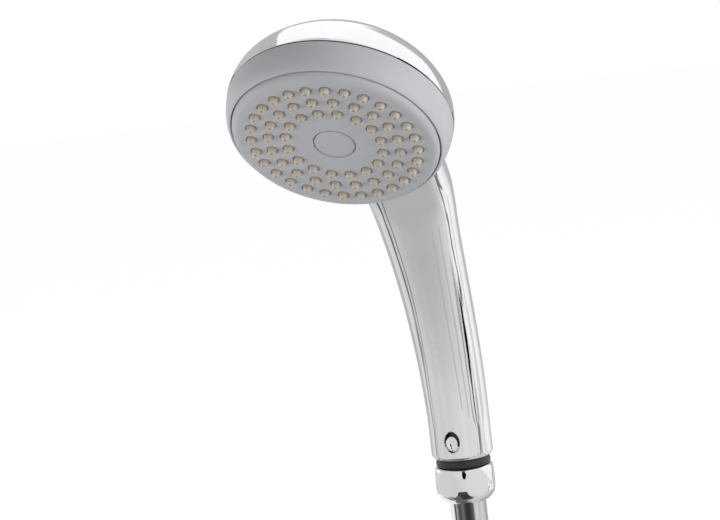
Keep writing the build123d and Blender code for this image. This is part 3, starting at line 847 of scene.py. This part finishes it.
# %% Pale floor
FLOOR_Z = -0.30
FLOOR_R = 8.0
FLOOR_GLOW = 0.80
bpy.ops.object.select_all(action="DESELECT")
bpy.ops.mesh.primitive_circle_add(vertices=96, radius=FLOOR_R, fill_type="NGON", location=(0, 0, FLOOR_Z))
floor = bpy.context.object
floor.name = floor.data.name = "pale_floor"
bpy.ops.object.transform_apply(location=True, rotation=True, scale=True)
floor_paint = bpy.data.materials.new("floor_paint")
floor_paint.use_nodes = True
tree = floor_paint.node_tree
shader = tree.nodes["Principled BSDF"]
shader.inputs["Base Color"].default_value = (0.70, 0.70, 0.70, 1)
shader.inputs["Roughness"].default_value = 0.9
shader.inputs["Specular IOR Level"].default_value = 0.0
shader.inputs["Emission Color"].default_value = (1, 1, 1, 1)
path = tree.nodes.new("ShaderNodeLightPath")
lift = tree.nodes.new("ShaderNodeMapRange")
lift.inputs["To Min"].default_value = 0.0
lift.inputs["To Max"].default_value = FLOOR_GLOW
tree.links.new(path.outputs["Is Camera Ray"], lift.inputs["Value"])
tree.links.new(lift.outputs["Result"], shader.inputs["Emission Strength"])
floor.data.materials.append(floor_paint)
floor.visible_glossy = False
print("floor at", FLOOR_Z)

# %% [markdown]
# ## Painting the studio by direction
# Chrome shows its surroundings, so the studio is mostly things to be reflected. Each
# could be a card on a stand, but what counts for a far card is only its direction.
# So one large glowing sphere, seen only in reflections, is painted inside by azimuth and
# elevation, in screen tones: its paint is the painted reflection on the chrome.
# The painter below adds the nodes: ramps round the walls, and soft streaks over them.

# %% Directions and tones
CHROME_TONE = 0.88  # share of the light that the plating gives back


def aim(azimuth, elevation):
    """Unit vector for an azimuth from the front towards +X and an elevation, in degrees."""
    turn, rise = math.radians(azimuth), math.radians(elevation)
    return Vector((math.sin(turn) * math.cos(rise), -math.cos(turn) * math.cos(rise), math.sin(rise)))


def light_of(tone):
    """Linear light of a screen tone from 0 to 255, as chrome gives it back."""
    value = tone / 255
    linear = value / 12.92 if value <= 0.04045 else ((value + 0.055) / 1.055) ** 2.4
    return linear / CHROME_TONE


print("front is", tuple(aim(0, 0)))


# %% The painter
class Painter:
    """Adds nodes that paint soft shapes, one over the other, on the inside of the studio."""

    def __init__(self, tree, middle):
        self.tree = tree
        place = self.node("ShaderNodeTexCoord")
        off = self.vector("SUBTRACT", place.outputs["Object"], middle)
        self.way = self.vector("NORMALIZE", off)
        split = self.node("ShaderNodeSeparateXYZ")
        self.link(self.way, split.inputs[0])
        self.up = split.outputs["Z"]
        front = self.math("MULTIPLY", split.outputs["Y"], -1.0)
        turn = self.math("ARCTAN2", split.outputs["X"], front)
        self.azimuth = self.math("DIVIDE", turn, math.pi)

    def node(self, kind):
        return self.tree.nodes.new(kind)

    def link(self, value, socket):
        """Sets a socket to a constant, or joins it to another node's output."""
        if isinstance(value, (int, float, Vector)):
            socket.default_value = value
        else:
            self.tree.links.new(value, socket)

    def math(self, operation, a, b=0.0, clamp=False):
        node = self.node("ShaderNodeMath")
        node.operation, node.use_clamp = operation, clamp
        self.link(a, node.inputs[0])
        self.link(b, node.inputs[1])
        return node.outputs[0]

    def vector(self, operation, a, b=None):
        node = self.node("ShaderNodeVectorMath")
        node.operation = operation
        self.link(a, node.inputs[0])
        if b is not None:
            self.link(b, node.inputs["Scale"] if operation == "SCALE" else node.inputs[1])
        return node.outputs["Value"] if operation in ("DOT_PRODUCT", "DISTANCE") else node.outputs["Vector"]

    def fade(self, value, start, end, low=0.0, high=1.0):
        """Soft step from low to high as the value goes from start to end."""
        node = self.node("ShaderNodeMapRange")
        node.interpolation_type = "SMOOTHSTEP"
        for name, setting in (("From Min", start), ("From Max", end), ("To Min", low), ("To Max", high)):
            node.inputs[name].default_value = setting
        self.link(value, node.inputs["Value"])
        return node.outputs["Result"]

    def ramp(self, value, stops):
        """Tones at (position, tone); position runs from -1 to 1."""
        node = self.node("ShaderNodeValToRGB")
        while len(node.color_ramp.elements) < len(stops):
            node.color_ramp.elements.new(0.5)
        for element, (position, tone) in zip(node.color_ramp.elements, stops):
            element.position = (position + 1) / 2
            element.color = (light_of(tone),) * 3 + (1,)
        self.link(self.math("ADD", self.math("MULTIPLY", value, 0.5), 0.5), node.inputs["Fac"])
        return node.outputs["Color"]

    def mix(self, mask, under, over):
        """One paint over another where the mask is 1; a number is a plain tone."""
        node = self.node("ShaderNodeMix")
        node.data_type = "RGBA"
        self.link(mask, node.inputs[0])
        for value, socket in zip((under, over), node.inputs[6:8]):
            if isinstance(value, (int, float)):
                socket.default_value = (light_of(value),) * 3 + (1,)
            else:
                self.tree.links.new(value, socket)
        return node.outputs[2]

    def streak(self, under, tone, path, half, soft):
        """A soft band along points (azimuth, elevation); widths are in degrees."""
        for start, end in zip(path, path[1:]):
            a, b = aim(*start), aim(*end)
            along = b - a
            shadow = self.vector("DOT_PRODUCT", self.vector("SUBTRACT", self.way, a), along)
            share = self.math("DIVIDE", shadow, along.length_squared, clamp=True)
            spot = self.vector("ADD", self.vector("SCALE", along, share), a)
            far = self.vector("DISTANCE", self.way, spot)
            mask = self.fade(far, math.radians(half), math.radians(half + soft), 1.0, 0.0)
            under = self.mix(mask, under, tone)
        return under


def turned_to(*stops):
    """Ramp stops from (azimuth, tone) pairs."""
    return [(azimuth / 180, tone) for azimuth, tone in stops]


print("painter ready")

# %% [markdown]
# ## The walls of the studio
# The walls are pale all round, a little darker on the camera's side and greyer near
# the floor. Low walls and high walls have their own tones, which fade into each other.

# %% The studio shell and its walls
STUDIO_R = 3.0
STUDIO_MIDDLE = Vector((0, -0.05, 0.08))
bpy.ops.object.select_all(action="DESELECT")
bpy.ops.mesh.primitive_uv_sphere_add(segments=96, ring_count=48, radius=STUDIO_R, location=STUDIO_MIDDLE)
studio = bpy.context.object
studio.name = studio.data.name = "studio_shell"
bpy.ops.object.transform_apply(location=True, rotation=True, scale=True)
bpy.ops.object.shade_smooth()
studio_paint = bpy.data.materials.new("studio_paint")
studio_paint.use_nodes = True
tree = studio_paint.node_tree
tree.nodes.remove(tree.nodes["Principled BSDF"])
paint = Painter(tree, STUDIO_MIDDLE)
low_walls = paint.ramp(paint.azimuth, turned_to(
    (-180, 186), (-150, 190), (-125, 200), (-108, 214), (-95, 202), (-62, 206), (-46, 200),
    (-34, 209), (-14, 203), (6, 210), (20, 209), (34, 217), (48, 212), (60, 214), (84, 217), (106, 218),
    (113, 241), (145, 240), (160, 214), (180, 186),
))
high_walls = paint.ramp(paint.azimuth, turned_to(
    (-180, 252), (-104, 250), (-90, 205), (-78, 200), (0, 216), (90, 226), (106, 246), (180, 252),
))
FLOOR_TONE = 174
floor_from, floor_full = (math.sin(math.radians(elevation)) for elevation in (-24, -62))
walls = paint.mix(paint.fade(paint.up, -0.10, 0.12), low_walls, high_walls)
walls = paint.mix(paint.fade(paint.up, floor_from, floor_full), walls, FLOOR_TONE)
print("wall nodes", len(tree.nodes))

# %% [markdown]
# ## The streaks: painted reflections
# The streaks are painted reflections. Each band is placed by direction so that the chrome shows it
# as a line or mark where it should, as dark window bars and door frames would in a real room. Each
# streak has a tone, a half width, a soft edge and a path. The broad ones paint the dome's grey border,
# the two black ones the dark drop-shaped reflection on the nut, and the fine ones the reflected lines
# down the handle from the head to the air hole.

# %% Streaks
# Painted reflections: each streak draws one line or mark on the chrome.
STREAKS = (  # tone, half width, soft edge, path of (azimuth, elevation); all but tone in degrees
    # the dome
    (182, 10.0, 6.0, [(168, 0), (173, 24)]),
    (172, 10.0, 6.0, [(165, 8), (-160, 8), (-148, 6)]),
    (179, 6.5, 2.0, [(-162, -4), (-150, 11), (-138, 26), (-126, 35), (-112, 41), (-98, 44)]),
    (184, 9.0, 3.0, [(-134, 14), (-112, 24), (-96, 28)]),
    # the dark drop-shaped reflection painted on the nut
    (8, 8.0, 2.0, [(15.5, 8.5), (15.5, 13)]),
    (8, 4.5, 3.0, [(13.5, 28), (13.0, 40)]),
    # the handle's left side
    (96, 0.8, 2.2, [(-126, -38), (-116, -39), (-104, -37.5), (-95, -32.5), (-90, -31), (-90, -28)]),
    (140, 0.8, 2.2, [(-90, -28), (-96, -24), (-99, -19), (-93, -13)]),
    (124, 0.6, 1.8, [(-122, -47), (-102, -46), (-84, -40), (-78, -36), (-79, -32)]),
    (164, 0.6, 1.8, [(-79, -32), (-86, -23), (-85, -14)]),
    (178, 1.5, 2.5, [(-122, -18), (-130, -15.5), (-140, -13)]),
    # the handle's middle
    (176, 0.8, 2.0, [(55, -48), (42, -43), (37, -36), (37, -26)]),
    (178, 0.8, 2.0, [(79, -41), (71, -36), (62, -31), (60, -22)]),
    (160, 0.8, 2.0, [(101, -30), (87, -29), (80, -26), (76, -21), (80, -16)]),
    # the handle's right side
    (206, 1.0, 2.5, [(134, -24), (131, -17), (119, -16), (115, -12)]),
    (118, 0.8, 1.6, [
        (137, -33), (137, -38.5), (131, -38.5), (121, -35), (115, -30), (118, -25.5), (119, -22.5),
    ]),
    (45, 0.25, 0.6, [(119, -22.4), (106, -25)]),
    (8, 1.3, 1.1, [(106, -25.2), (96, -24.5), (91, -23), (89, -20), (89, -17)]),
    (112, 0.7, 1.4, [(89, -17), (91, -14), (99, -11.5)]),
    (136, 0.7, 1.3, [(103, -19), (98, -16), (99, -12)]),
)
for tone, half, soft, path in STREAKS:
    walls = paint.streak(walls, tone, path, half, soft)
glow = tree.nodes.new("ShaderNodeEmission")
tree.links.new(walls, glow.inputs["Color"])
tree.links.new(glow.outputs["Emission"], tree.nodes["Material Output"].inputs["Surface"])
studio.data.materials.append(studio_paint)


def only_reflected(wall):
    """Lets mirrors show a wall that neither lights nor shades anything."""
    for flag in ("visible_camera", "visible_diffuse", "visible_shadow", "visible_transmission"):
        setattr(wall, flag, False)


only_reflected(studio)
print("studio nodes", len(tree.nodes))

# %% [markdown]
# ## Shades round the hose
# The nut and the sleeve also mirror what is close by, such as a hand or hose below them.
# Two round walls and a disc stand there, glowing and painted by azimuth, and are seen only in
# reflections: they paint the dark and pale reflections on the nut and sleeve. A shade would show
# in the handle too, so its paint turns clear for rays that come from farther away.

# %% Shade walls
SHADE_REACH = 0.07  # metres from which a shade is seen
SHADE_SIDES = 144
NUT_MIDDLE = (NUT_TOP - 7.5) * MM


def drop_faces(piece, test):
    """Deletes the faces that pass a test."""
    only(piece)
    bpy.ops.object.mode_set(mode="EDIT")
    bpy.ops.mesh.select_mode(type="FACE")
    bpy.ops.mesh.select_all(action="DESELECT")
    bpy.ops.object.mode_set(mode="OBJECT")
    for face in piece.data.polygons:
        face.select = test(face)
    bpy.ops.object.mode_set(mode="EDIT")
    bpy.ops.mesh.delete(type="FACE")
    bpy.ops.mesh.select_mode(type="VERT")
    bpy.ops.object.mode_set(mode="OBJECT")


def azimuth_of(spot):
    """Azimuth of a point about the handle's axis, in degrees."""
    return math.degrees(math.atan2(spot.x, -spot.y))


def shade_wall(name, radius, high, low, stops):
    """A round wall about the handle's axis, or a disc if it has no height, painted by azimuth."""
    bpy.ops.object.select_all(action="DESELECT")
    middle = (0, 0, (high + low) / 2)
    if high == low:
        bpy.ops.mesh.primitive_circle_add(
            vertices=SHADE_SIDES, radius=radius, fill_type="TRIFAN", location=middle,
        )
    else:
        bpy.ops.mesh.primitive_cylinder_add(
            vertices=SHADE_SIDES, radius=radius, depth=high - low, end_fill_type="NOTHING", location=middle,
        )
    wall = bpy.context.object
    wall.name = wall.data.name = name
    bpy.ops.object.transform_apply(location=True, rotation=True, scale=True)
    first, last = stops[0][0], stops[-1][0]
    drop_faces(wall, lambda face: not first <= azimuth_of(face.center) <= last)
    coat = bpy.data.materials.new(name)
    coat.use_nodes = True
    tree = coat.node_tree
    tree.nodes.remove(tree.nodes["Principled BSDF"])
    painter = Painter(tree, Vector((0, 0, NUT_MIDDLE)))
    tone = painter.ramp(painter.azimuth, turned_to(*stops))
    shine = tree.nodes.new("ShaderNodeEmission")
    tree.links.new(tone, shine.inputs["Color"])
    far = painter.math("GREATER_THAN", painter.node("ShaderNodeLightPath").outputs["Ray Length"], SHADE_REACH)
    pick = painter.node("ShaderNodeMixShader")
    tree.links.new(far, pick.inputs[0])
    tree.links.new(shine.outputs["Emission"], pick.inputs[1])
    tree.links.new(painter.node("ShaderNodeBsdfTransparent").outputs[0], pick.inputs[2])
    tree.links.new(pick.outputs[0], tree.nodes["Material Output"].inputs["Surface"])
    wall.data.materials.append(coat)
    only_reflected(wall)
    print(name, "faces", len(wall.data.polygons))


# %% Two walls and a disc
# Glowing walls and a disc seen only in reflections: painted reflections on the nut and sleeve.
shade_wall("sleeve_shade", 0.018, -0.0190, -0.060, [
    (-180, 238), (-120, 236), (-100, 228), (-70, 240), (-64, 170), (-58, 62), (-54, 80), (-46, 172),
    (-40, 112), (-28, 70), (-10, 106), (2, 54), (20, 50), (40, 92), (49, 204), (66, 204), (70, 186),
    (92, 208), (106, 188), (128, 166), (180, 168),
])
shade_wall("hose_shade", 0.030, -0.0215, -0.042, [
    (-50, 186), (-38, 96), (-10, 62), (24, 66), (36, 110), (52, 190),
])
shade_wall("nut_reflection_disc", 0.060, -0.050, -0.050, [
    (-180, 110), (-90, 92), (0, 100), (20, 150), (60, 196), (180, 190),
])

# %% [markdown]
# ## Lamps
# Soft square lamps shape the grey skirt and face: a strong one from the right, a
# weak one from the left, a small near one that lifts the left of the face, and one
# from below. The chrome doesn't mirror them, since the painted studio does that work.

# %% Lamps
HEAD_MIDDLE = (0, -0.09, 0.14)


def lamp(name, where, size, power, towards=HEAD_MIDDLE):
    """A square lamp that faces a point and stays out of the reflections."""
    light = bpy.data.lights.new(name, "AREA")
    light.size = size
    light.energy = power
    thing = bpy.data.objects.new(name, light)
    bpy.context.collection.objects.link(thing)
    thing.location = where
    thing.rotation_euler = (Vector(towards) - Vector(where)).to_track_quat("-Z", "Y").to_euler()
    thing.visible_glossy = False


lamp("right_box", (1.15, -0.35, 0.25), 0.9, 10.6)
lamp("left_box", (-1.05, -0.55, 0.10), 0.8, 3.2)
lamp("near_left_box", (-0.24, -0.20, 0.05), 0.16, 0.24, towards=(-0.03, -0.11, 0.14))
lamp("low_box", (0.15, -0.85, -0.22), 0.6, 1.2)
print("lamps", len(bpy.data.lights))
